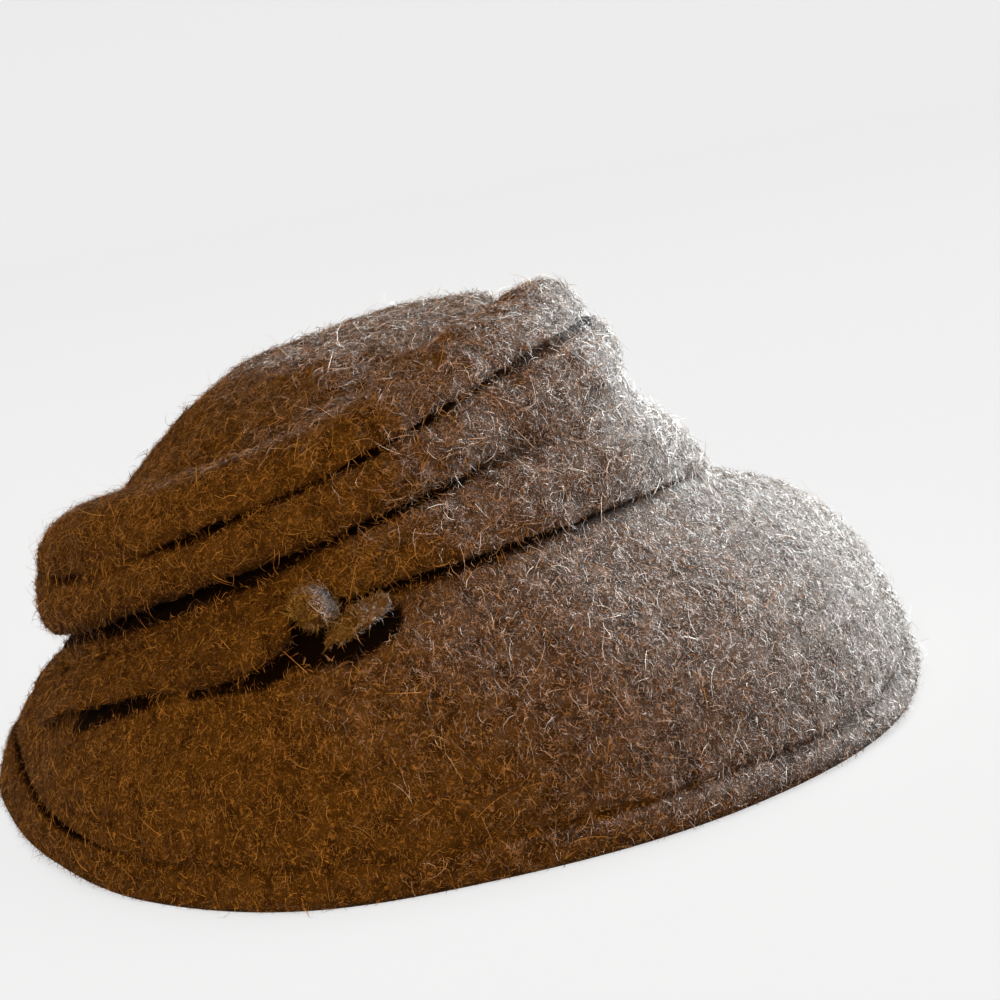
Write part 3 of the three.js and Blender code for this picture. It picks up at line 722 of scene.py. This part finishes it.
def build_brim(tie_shadows):
    bearings = np.arange(BRIM_BEARINGS) * 360.0 / BRIM_BEARINGS
    shape = BrimShape(bearings)
    full = shape.chord * ARC_TO_CHORD
    hem = shape.hem
    _, deep, wide, roll = read_all(HEM_LINE, bearings).values()
    stitch = np.cos(bearings * STITCHES_PER_DEGREE * 2 * np.pi)
    stitch = 1 - STITCH_SHARE + STITCH_SHARE * stitch
    edge = place(bearings, shape.edge_r, 0.0)
    groove = hem + HEM_DRIFT * wave_noise(edge, HEM_DRIFT_SIZE, SEEDS["hem"])

    def hem_height(inside):
        crest = np.sin(np.pi * np.clip(inside / hem, 0, 1)) ** 0.7
        line = np.exp(-((inside - groove) / wide) ** 2)
        return roll * crest - deep * stitch * line

    def top_row(inside):
        return shape.raised(1 - inside / full, hem_height(inside))

    rows = []
    foot = (shape.edge_r - EDGE_TUCK, shape.edge_z)
    start = top_row(np.full_like(bearings, HEM_START))
    corner = (shape.edge_r + EDGE_CORNER[0], shape.edge_z + EDGE_CORNER[1])
    for t in np.linspace(0, 1, EDGE_ROWS + 2)[1:-1]:
        rows.append([bend(a, b, c, t) for a, b, c in zip(foot, corner, start)])
    hem_places = np.linspace(HEM_START, HEM_ZONE, HEM_ROWS)
    rows += [top_row(np.full_like(bearings, inside)) for inside in hem_places]
    for share in np.linspace(0, 1, BODY_ROWS + 1)[1:]:
        rows.append(top_row(HEM_ZONE + (full - HEM_ZONE) * share))
    top_count = len(rows)
    rows.append((shape.seat_r - LAND_WIDTH, shape.seat_z))
    rows.append((shape.seat_r - LAND_WIDTH, shape.seat_z - LAND_THICK))
    hem_share = hem / full
    underside = -FELT * np.ones_like(full)
    for share in np.linspace(0, 1, UNDER_ROWS + 1)[1:]:
        rows.append(shape.raised((1 - hem_share * 1.1) * share, underside))
    rows += [shape.raised(1 - hem_share * part, underside - hang) for part, hang in HEM_UNDER]
    rows.append((shape.edge_r - EDGE_TUCK - EDGE_FLAT, shape.edge_z))
    rows.append(foot)
    grid = np.stack([place(bearings, r, z) for r, z in rows], axis=1)
    # The edge, the seat and the turned hem below keep their form, with little or no bumps
    calm = np.ones(grid.shape[1])
    calm[:EDGE_ROWS] = 0.2
    calm[top_count - 2:] = 0.0
    calm[top_count + 4:-6] = 0.6
    bumps = felt_bumps(grid, SEEDS["brim"], BRIM_BUMPS) * calm[None, :]
    grid = grid + grid_normals(grid) * bumps[..., None]
    faces = ring_faces(BRIM_BEARINGS, grid.shape[1], True)
    inside = hem_places[None, :] - groove[:, None]
    sharp = climb_over(deep, DARK_GROOVE, DARK_GROOVE_RUN)[:, None]

    def along_groove(strength, half_width):
        values = np.zeros(grid.shape[:2])
        shade = strength * np.exp(-(inside / half_width[:, None]) ** 4)
        values[:, EDGE_ROWS:EDGE_ROWS + HEM_ROWS] = shade
        return values

    # Painted shade in the line of stitches
    painted_shade = along_groove(sharp, 0.95 * wide)
    shelter = along_groove(sharp, wide + HAIR_CLEAR)
    bare = along_groove(0.4 + 0.59 * sharp, wide + 0.3)
    # Painted shade in the join at the seat and under the tie, its knob and tail; none below the top
    out = np.linalg.norm(grid[..., :2], axis=-1) - shape.seat_r[:, None]
    dark = np.clip(around(SEAT_LINE, "dark", bearings), 0, 1)[:, None]
    painted_shade = np.maximum(painted_shade, dark * np.clip(BRIM_JOIN_SHARE - out / BRIM_JOIN_SHADE, 0, 1))
    painted_shade = np.maximum(painted_shade, painted_tie_shadow(grid, bearings, tie_shadows))
    shelter = np.maximum(shelter, painted_shade)
    painted_shade[:, top_count:] = 0.0
    brim = mesh_object(
        "brim_felt", to_frame(grid.reshape(-1, 3)), [faces], [felt], painted_shade=painted_shade.reshape(-1),
    )
    top_skin = np.zeros(grid.shape[:2])
    top_skin[:, :top_count - 2] = 1.0
    top_skin *= 1 - bare
    under_skin = np.zeros(grid.shape[:2])
    under_skin[:, top_count + 3:] = 1.0
    return brim, grid, top_skin, under_skin, painted_shade, shelter


# Painted shadow on the brim under the tie, its knob and its tail: how deep it is
def painted_tie_shadow(grid, bearings, tie_shadows):
    shade = np.zeros(grid.shape[:2])
    first, last = UNDER_THE_TIE
    near_tie = np.nonzero((bearings > first) & (bearings < last))[0]
    for loops, full, none in tie_shadows:
        flat = loops.reshape(-1, 3)
        tree = KDTree(len(flat))
        for index, (x, y, _) in enumerate(flat):
            tree.insert((x, y, 0.0), index)
        tree.balance()
        for j in near_tie:
            for i, (x, y, _) in enumerate(grid[j]):
                distance = tree.find((x, y, 0.0))[2]
                value = min(1.0, max(0.0, (none - distance) / (none - full)))
                shade[j, i] = max(shade[j, i], value)
    return shade


# Tie, tail and knob
TIE_STATIONS = 170
TIE_ROUND = 44
TAIL_STATIONS = 40
TAIL_ROUND = 40
STRIP_SQUARENESS = 0.75
END_RUN, END_SIZE = 0.02, 0.45
KNOB_RINGS = 44
KNOB_ROUND = 60
KNOB_DIMPLE = 0.07
KNOB_WRAP = 0.5
# Bearings at which the tie changes: its inner edge tucks under the crown, its flat part ends, it is
# rolled and the roll lifts. Each change takes a run in degrees. The tuck and the rise are sizes.
TUCK_START, TUCK_RUN, TUCK = 250, 14, 3.4
FLAT_END, FLAT_RUN, FLAT_RISE = 288, 6, 0.7
ROLL_START, ROLL_RUN = 290, 8
LIFT_START, LIFT_RUN = 306, 7
# The roll's outer edge is pulled in and droops, less so where it lifts
PULL_IN, PULL_LIFTED = 2.6, 1.2
DROOP, DROOP_LIFTED = 3.2, 2.0
# Narrow features. at: bearing, or angle round the roll. half: half width. deep or high: size.
SEAM = {"at": 1.0, "half": 0.16, "deep": 0.9}
PUCKER = {"at": 297.0, "half": 1.4, "deep": 1.3}
LUMP = {"at": 291.5, "half": 2.0, "high": 0.9}


def bell_at(values, feature):
    return np.exp(-((values - feature["at"]) / feature["half"]) ** 2)


def swept_object(name, loops, material, painted_shade=None):
    stations, size = loops.shape[:2]
    points = loops.reshape(-1, 3)
    side = ring_faces(size, stations, False)
    j = side % stations
    i = side // stations
    sides = (j * size + i)[:, ::-1]
    centres = np.stack([loops[0].mean(axis=0), loops[-1].mean(axis=0)])
    start = len(points)
    first = fan_faces(np.arange(size), start)
    last = fan_faces(np.arange(size) + (stations - 1) * size, start + 1, turned=True)
    points = np.concatenate([points, centres])
    if painted_shade is not None:
        painted_shade = np.concatenate([painted_shade.reshape(-1), [0.0, 0.0]])
    return mesh_object(name, to_frame(points), [sides, first, last], [material], painted_shade=painted_shade)


def strip_loops(table, stations, size, shape_section):
    bearings = np.linspace(table["bearing"][0], table["bearing"][-1], stations)
    shape = BrimShape(bearings)
    read = {name: along(table, "bearing", name, bearings) for name in table}
    near = shape.height_at(read["out"] - read["half_wide"])
    far = shape.height_at(read["out"] + read["half_wide"])
    slope = np.arctan2(far - near, 2 * read["half_wide"]) + np.radians(read["lean"])
    middle_z = (near + far) / 2 + read["lift"]
    turn = np.linspace(0, 2 * np.pi, size, endpoint=False)[None, :]
    share = np.linspace(0, 1, stations)[:, None]
    wide, thick = shape_section(turn, share, read, bearings[:, None])
    r = (shape.seat_r + read["out"])[:, None] + wide * np.cos(slope)[:, None]
    r = r - thick * np.sin(slope)[:, None]
    z = middle_z[:, None] + wide * np.sin(slope)[:, None] + thick * np.cos(slope)[:, None]
    return place(bearings[:, None], r, z)


def super_power(value, power):
    return np.sign(value) * np.abs(value) ** power


def tie_section(turn, share, read, bearings):
    c = np.cos(turn)
    s = np.sin(turn)
    outer = np.clip(c, 0, 1)
    rolled = climb_over(bearings, ROLL_START, ROLL_RUN)
    lifted = climb_over(bearings, LIFT_START, LIFT_RUN)
    wide = read["half_wide"][:, None] * super_power(c, STRIP_SQUARENESS)
    thick = read["half_thick"][:, None] * super_power(s, STRIP_SQUARENESS)
    inner = np.clip(-c, 0, 1) * climb_over(bearings, TUCK_START, TUCK_RUN)
    wide = wide - TUCK * inner
    thick = thick + 0.5 * inner
    wide = wide - (PULL_IN - PULL_LIFTED * lifted) * rolled * outer
    thick = thick - (DROOP - DROOP_LIFTED * lifted) * rolled * outer ** 2
    thick = thick - SEAM["deep"] * rolled * bell_at(turn, SEAM)
    thick = thick - PUCKER["deep"] * bell_at(bearings, PUCKER) * np.clip(c + 0.4, 0, 1)
    lump = LUMP["high"] * bell_at(bearings, LUMP)
    thick = thick + lump * np.clip(s, 0, 1) * np.clip(0.3 - c, 0, 1)
    flat = climb_over(-bearings, -FLAT_END, FLAT_RUN)
    thick = thick + FLAT_RISE * flat * np.clip(-s, 0, 1) * outer
    ends = np.clip(share / END_RUN, 0, 1) ** 0.5 * np.clip((1 - share) / END_RUN, 0, 1) ** 0.5
    ends = END_SIZE + (1 - END_SIZE) * ends
    return wide * ends, thick * ends


def tail_section(turn, share, read, bearings):
    wide = read["half_wide"][:, None] * super_power(np.cos(turn), 0.9)
    thick = read["half_thick"][:, None] * super_power(np.sin(turn), 0.8)
    point = np.clip(share / 0.4, 0, 1) ** 0.7
    round_end = np.sqrt(np.clip(1 - (np.clip(share - 0.68, 0, 1) / 0.34) ** 2, 0.02, 1))
    outline = (0.3 + 0.7 * point) * round_end
    return wide * outline, thick * (0.5 + 0.5 * outline)


def with_bumps(loops, seed):
    direction = unit(loops - loops.mean(axis=1, keepdims=True))
    return loops + direction * felt_bumps(loops, seed, TRIM_BUMPS)[..., None]


def build_knob():
    shape = BrimShape(np.array([KNOB["bearing"]]))
    centre_r = shape.seat_r + KNOB["out"]
    centre_z = shape.height_at(KNOB["out"]) + KNOB["lift"]
    centre = place(KNOB["bearing"], centre_r, centre_z)[0]
    across = place(KNOB["bearing"], 1.0, 0.0)
    lengthways = np.cross([0, 0, 1], across)
    tilt = np.linspace(0, np.pi, KNOB_RINGS)[1:-1, None]
    turn = np.linspace(0, 2 * np.pi, KNOB_ROUND, endpoint=False)[None, :]
    dimple = 1 - KNOB_DIMPLE * np.cos(3 * turn + 1.5 * tilt)
    wide = np.sin(tilt) * np.cos(turn) * dimple * KNOB["across"]
    long = np.sin(tilt) * np.sin(turn) * dimple * KNOB["along"]
    high = np.cos(tilt) * np.ones_like(turn) * KNOB["high"]
    loops = centre + wide[..., None] * across + long[..., None] * lengthways
    loops[..., 2] += high
    wrap = np.sin(tilt * 3.0 + turn) ** 10
    direction = unit(loops - centre)
    loops -= direction * (KNOB_WRAP * wrap)[..., None]
    loops += direction * felt_bumps(loops, SEEDS["knob"], TRIM_BUMPS)[..., None]
    return loops


tie_loops = with_bumps(strip_loops(TIE, TIE_STATIONS, TIE_ROUND, tie_section), SEEDS["tie"])
tail_loops = with_bumps(strip_loops(TAIL, TAIL_STATIONS, TAIL_ROUND, tail_section), SEEDS["tail"])
knob_loops = build_knob()
# Painted shade on the underside of the tie
tie_underside_shade = np.clip(-np.sin(np.linspace(0, 2 * np.pi, TIE_ROUND, endpoint=False)) * 2.0, 0, 1)
tie = swept_object("tie_felt", tie_loops, felt, np.tile(tie_underside_shade, (TIE_STATIONS, 1)))
# The tail and knob take the greyer felt that paints daylight on them
tail = swept_object("tie_tail_felt", tail_loops, knob_felt)
knob = swept_object("tie_knob_felt", knob_loops, knob_felt)
tie_bearings = np.linspace(TIE["bearing"][0], TIE["bearing"][-1], TIE_STATIONS)
# Each row paints shadow near a piece onto the brim: full up to the first distance, none from the second
TIE_SHADOWS = [
    (tie_loops[(tie_bearings > 273) & (tie_bearings < 294)], 0.3, 1.0),
    (tie_loops[(tie_bearings > 299) & (tie_bearings < 308)], 0.1, 0.9),
    (tie_loops[tie_bearings > 308], 1.0, 1.8),
    (tail_loops, 1.3, 2.3),
    (knob_loops, 1.3, 2.3),
]
crown, crown_outer, crown_inner, crown_painted_shade, crown_shelter = build_crown()
brim, brim_points, brim_top_skin, brim_under_skin, brim_painted_shade, brim_shelter = build_brim(TIE_SHADOWS)


# Loose fibres of the felt, as thin ribbons that taper to a point
def surface_samples(patch, count, rng):
    grid = patch["grid"]
    rows = grid.shape[0] if patch["ring"] else grid.shape[0] - 1
    columns = grid.shape[1] if patch["tube"] else grid.shape[1] - 1
    j = np.arange(rows)[:, None]
    i = np.arange(columns)[None, :]
    nj = (j + 1) % grid.shape[0]
    ni = (i + 1) % grid.shape[1]
    a, b, c, d = (grid[p, q].reshape(-1, 3) for p, q in ((j, i), (nj, i), (nj, ni), (j, ni)))
    cross = np.cross(c - a, d - b)
    area = np.linalg.norm(cross, axis=1) / 2
    chance = area * patch["skin"][:rows, :columns].reshape(-1)
    chance = chance / chance.sum()
    picked = rng.choice(len(area), size=count, p=chance)
    u = rng.random(count)[:, None]
    v = rng.random(count)[:, None]
    points = (a[picked] * (1 - u) + b[picked] * u) * (1 - v)
    points += (d[picked] * (1 - u) + c[picked] * u) * v
    normals = cross[picked] / np.maximum(2 * area[picked, None], 1e-9)
    spots = (picked // columns, picked % columns)
    upwards = (d[picked] + c[picked]) - (a[picked] + b[picked])
    return points, normals * patch["facing"], unit(upwards), spots


def ribbon_hairs(roots, normals, comb, rng, combed, looks, size):
    """Points and faces of tapering ribbons that bend and curl as they leave the felt."""
    count = len(roots)
    parts = looks["parts"]
    side = unit(np.cross(normals, comb))
    forward = np.cross(side, normals)
    anyway = rng.uniform(-np.pi, np.pi, count)
    combed_way = rng.normal(0, COMB_SPREAD, count) + rng.choice([0, np.pi], count, p=COMB_WAYS)
    start = np.where(rng.random(count) < combed, combed_way, anyway)
    rise = np.radians(np.clip(rng.normal(looks["rise"], looks["rise_spread"], count), 2, 80))
    lengths = looks["length"] * np.exp(rng.normal(0, looks["spread"], count))
    lengths = np.minimum(lengths, looks["longest"]) * size
    widths = looks["width"] * rng.uniform(0.7, 1.3, count)
    curl = rng.normal(0, looks["curl"], count)
    droop = rng.uniform(0.2, 1.0, count) * looks["droop"]
    twist = rng.uniform(-0.9, 0.9, count)
    flat = forward * np.cos(start)[:, None] + side * np.sin(start)[:, None]
    across = np.cross(normals, flat)
    centres = [roots - normals * ROOT_DEPTH]
    for step in range(parts):
        heading = curl * (step / (parts - 1))
        climb = rise - droop * (step / (parts - 1))
        way = flat * np.cos(heading)[:, None] + across * np.sin(heading)[:, None]
        way = way * np.cos(climb)[:, None] + normals * np.sin(climb)[:, None]
        centres.append(centres[-1] + way * (lengths / parts)[:, None])
    facing = across * np.cos(twist)[:, None] + normals * np.sin(twist)[:, None]
    points = []
    for step in range(parts):
        taper = 1 - 0.6 * (step / parts) ** 1.5
        half = facing * (widths * taper / 2)[:, None]
        points += [centres[step] - half, centres[step] + half]
    points.append(centres[parts])
    stacked = np.stack(points, axis=1)
    stacked[..., 2] = np.maximum(stacked[..., 2], LOWEST_HAIR)
    base = np.arange(count)[:, None] * (2 * parts + 1)
    quads = [base + 2 * k + np.array([[0, 1, 3, 2]]) for k in range(parts - 1)]
    tips = base + 2 * (parts - 1) + np.array([[0, 1, 2]])
    return stacked.reshape(-1, 3), np.concatenate(quads), tips


# Millimetres and shares. The comb's ways are the shares of hair that lie up and down the slope, and
# painted shade past each level gives the hair a darker colour of painted shade.
ROOT_DEPTH = 0.25
LOWEST_HAIR = 0.25
SHORTENED = 0.7
COMB_SPREAD = 0.6
COMB_WAYS = [0.7, 0.3]
BARE_CREASE = 0.85
DARK_HAIR_SHADE = 0.2
SHADOW_HAIR_SHADE = 0.45
# Angles in degrees from the felt, lengths and widths in millimetres, curl and droop in radians
FUZZ = {
    "length": 2.6, "spread": 0.3, "longest": 4.6, "width": 0.2, "rise": 17, "rise_spread": 10,
    "droop": 0.3, "curl": 0.8, "parts": 2,
}
SHORT = {**FUZZ, "length": 2.2, "longest": 3.6, "width": 0.17, "rise": 20}
CURLS = {
    "length": 4.8, "spread": 0.3, "longest": 8.0, "width": 0.15, "rise": 15, "rise_spread": 9,
    "droop": 0.5, "curl": 1.7, "parts": 3,
}
GUARD = {
    "length": 6.5, "spread": 0.35, "longest": 12.0, "width": 0.12, "rise": 17, "rise_spread": 11,
    "droop": 0.6, "curl": 1.1, "parts": 4,
}

# A patch of felt that carries hair. ring, tube: whether its grid closes round and along. combed:
# share of hair that follows the slope. skin: how open it is to hair. shelter: how short hair stays.
# The patch's painted shade darkens the hair rooted in it
def patch_of(grid, ring, tube, facing=1, combed=0.0, skin=1.0, painted_shade=0.0, shelter=0.0):
    full = np.ones(grid.shape[:2])
    return {
        "grid": grid, "ring": ring, "tube": tube, "facing": facing, "combed": combed,
        "skin": full * skin, "painted_shade": full * painted_shade, "shelter": full * shelter,
    }


PATCHES = {
    "crown": patch_of(
        crown_outer, True, False,
        skin=1 - BARE_CREASE * crown_painted_shade, painted_shade=crown_painted_shade, shelter=crown_shelter,
    ),
    "crown_inside": patch_of(crown_inner, True, False, facing=-1),
    "brim": patch_of(
        brim_points, True, True, combed=0.5,
        skin=brim_top_skin, painted_shade=brim_painted_shade, shelter=brim_shelter,
    ),
    "brim_under": patch_of(brim_points, True, True, combed=0.3, skin=brim_under_skin),
    "tie": patch_of(tie_loops, False, True, combed=0.2),
    "tie_tail": patch_of(tail_loops, False, True, combed=0.2),
    "tie_knob": patch_of(knob_loops, False, True),
}
# Each row is a piece of hair: its name, its patch, and the looks, shade and number of each kind
HAIR_PIECES = [
    ("crown_nap", "crown", [(FUZZ, DARK, 19000), (FUZZ, TAUPE, 20000), (SHORT, LIGHT, 25000)]),
    ("crown_curls", "crown", [(CURLS, LIGHT, 15000), (CURLS, TAUPE, 9000), (GUARD, CREAM, 2300)]),
    ("crown_inside_nap", "crown_inside", [(FUZZ, DARK, 6000), (FUZZ, TAUPE, 6000), (GUARD, CREAM, 150)]),
    ("brim_nap", "brim", [(FUZZ, DARK, 15000), (FUZZ, TAUPE, 17000), (SHORT, LIGHT, 33000)]),
    ("brim_curls", "brim", [(CURLS, LIGHT, 6000), (CURLS, TAUPE, 3000), (GUARD, CREAM, 1100)]),
    ("brim_under_nap", "brim_under", [(FUZZ, DARK, 6500), (FUZZ, TAUPE, 6500), (GUARD, CREAM, 200)]),
    ("tie_nap", "tie", [(FUZZ, DARK, 2200), (SHORT, TAUPE, 2200), (SHORT, LIGHT, 2600)]),
    ("tie_curls", "tie", [(CURLS, LIGHT, 700), (GUARD, CREAM, 110)]),
    # Grey hair on the tail and knob paints the cool daylight on them
    ("tie_tail_nap", "tie_tail", [(SHORT, TAUPE, 260), (SHORT, DAYLIT_GREY, 420), (CURLS, DAYLIT_GREY, 30)]),
    ("tie_knob_nap", "tie_knob", [(SHORT, TAUPE, 220), (SHORT, DAYLIT_GREY, 900), (CURLS, DAYLIT_GREY, 50)]),
]


def build_hair(name, felt_patch, kinds, seed):
    patch = PATCHES[felt_patch]
    rng = np.random.default_rng(seed)
    batches = []
    total = 0
    for looks, shade, count in kinds:
        roots, normals, comb, spots = surface_samples(patch, count, rng)
        size = 1 - SHORTENED * patch["shelter"][spots]
        points, quads, tips = ribbon_hairs(roots, normals, comb, rng, patch["combed"], looks, size)
        # Hair rooted in painted shade takes the dark or near-black colour of painted shade
        painted_shade = patch["painted_shade"][spots]
        shades = np.where(painted_shade > DARK_HAIR_SHADE, DARK, shade)
        shades = np.where(painted_shade > SHADOW_HAIR_SHADE, SHADOW, shades)
        quad_shades = np.tile(shades, len(quads) // count)
        batches.append((points, quads + total, tips + total, quad_shades, shades))
        total += len(points)
    points, quads, tips, quad_shades, tip_shades = (np.concatenate(part) for part in zip(*batches))
    slots = np.concatenate([quad_shades, tip_shades])
    return mesh_object(name, to_frame(points), [quads, tips], HAIR_SHADES, slots=slots, smooth=False)


hairs = [build_hair(*row, SEEDS["hair"] + order) for order, row in enumerate(HAIR_PIECES)]


# Floor, backdrop and lights, in metres
FLOOR_WIDTH = 6.0
FLOOR_NEAR = -3.0
COVE_START = 1.6
COVE_RADIUS = 0.9
COVE_STEPS = 12
BACKDROP_TOP = 3.2


def add_floor():
    profile = [(FLOOR_NEAR, 0.0), (COVE_START, 0.0)]
    for step in range(1, COVE_STEPS + 1):
        angle = math.pi / 2 * step / COVE_STEPS
        forward = COVE_START + COVE_RADIUS * math.sin(angle)
        profile.append((forward, COVE_RADIUS * (1 - math.cos(angle))))
    profile.append((COVE_START + COVE_RADIUS, BACKDROP_TOP))
    away = direction_to(CAMERA_AZIMUTH + 180, 0)
    level = direction_to(CAMERA_AZIMUTH + 90, 0)
    points = []
    for distance, height in profile:
        for side in (-FLOOR_WIDTH / 2, FLOOR_WIDTH / 2):
            points.append(away * distance + level * side + Vector((0, 0, height)))
    starts = 2 * np.arange(len(profile) - 1)[:, None]
    material, _, shader = new_material("pale_floor", 0.9, 0.0)
    shader.inputs["Base Color"].default_value = (0.4, 0.4, 0.4, 1.0)
    shader.inputs["Emission Color"].default_value = (1.0, 1.0, 1.0, 1.0)
    shader.inputs["Emission Strength"].default_value = 0.58
    floor = mesh_object("floor", points, [starts + np.array([[0, 1, 3, 2]])], [material])
    floor.visible_diffuse = False
    return floor


def add_light(name, kind, bearing, elevation, distance, lit, **values):
    data = bpy.data.lights.new(name, kind)
    for key, value in values.items():
        setattr(data, key, value)
    light = bpy.data.objects.new(name, data)
    direction = direction_to(bearing, elevation)
    light.location = Vector(LIT_PLACE) + direction * distance
    light.rotation_euler = direction.to_track_quat("Z", "Y").to_euler()
    bpy.context.scene.collection.objects.link(light)
    light.light_linking.receiver_collection = lit


def add_world(colour, strength):
    world = bpy.data.worlds.new("studio")
    world.use_nodes = True
    background = world.node_tree.nodes["Background"]
    background.inputs["Color"].default_value = (*colour, 1.0)
    background.inputs["Strength"].default_value = strength
    bpy.context.scene.world = world


floor = add_floor()
hat_only = bpy.data.collections.new("lit_hat")
stage_only = bpy.data.collections.new("lit_stage")
stage_only.objects.link(floor)
for piece in (crown, brim, tie, tail, knob, *hairs):
    hat_only.objects.link(piece)
LIT_PLACE = (0.0, 0.0, 0.05)
WARM = (1.0, 0.4, 0.045)
# Each row: name, bearing, elevation, distance and size in metres, power and colour
LAMPS = [
    ("daylight_far", 76, 26, 1.5, 0.7, 12.0, (0.8, 0.92, 1.0)),
    ("daylight_side", 88, 20, 0.7, 0.4, 20.0, (0.72, 0.88, 1.0)),
    ("daylight_front", 62, 18, 0.8, 0.4, 18.0, (0.78, 0.88, 1.0)),
    ("warm_above", 288, 50, 0.8, 0.6, 2.0, WARM),
    ("warm_front", 320, 12, 0.8, 0.6, 3.5, WARM),
    ("warm_left", 250, 25, 1.8, 1.2, 1.0, WARM),
    ("warm_behind", 190, 30, 1.8, 1.2, 6.0, WARM),
]
for name, bearing, elevation, distance, size, power, colour in LAMPS:
    looks = {"shape": "DISK", "size": size, "energy": power, "color": colour}
    add_light(name, "AREA", bearing, elevation, distance, hat_only, **looks)
# Each row: name, bearing, elevation, spread in degrees and strength
for name, bearing, elevation, spread, strength in (
    ("stage_front", CAMERA_AZIMUTH, 60, 70, 1.9), ("stage_side", 110, 60, 40, 0.9),
):
    looks = {"angle": math.radians(spread), "energy": strength}
    add_light(name, "SUN", bearing, elevation, 0, stage_only, **looks)
add_world((1.0, 0.8, 0.6), 0.012)
bpy.context.scene.view_settings.view_transform = "Standard"
bpy.context.scene.view_settings.exposure = 0.0


# Every piece stands for its solid or lies on it
STANDS_FOR = [(crown, "crown"), (brim, "brim"), (tie, "tie"), (tail, "tie_tail"), (knob, "tie_knob")]
for piece, node in STANDS_FOR:
    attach(piece, "root")
    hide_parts(node)
for piece in hairs:
    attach(piece, "root")
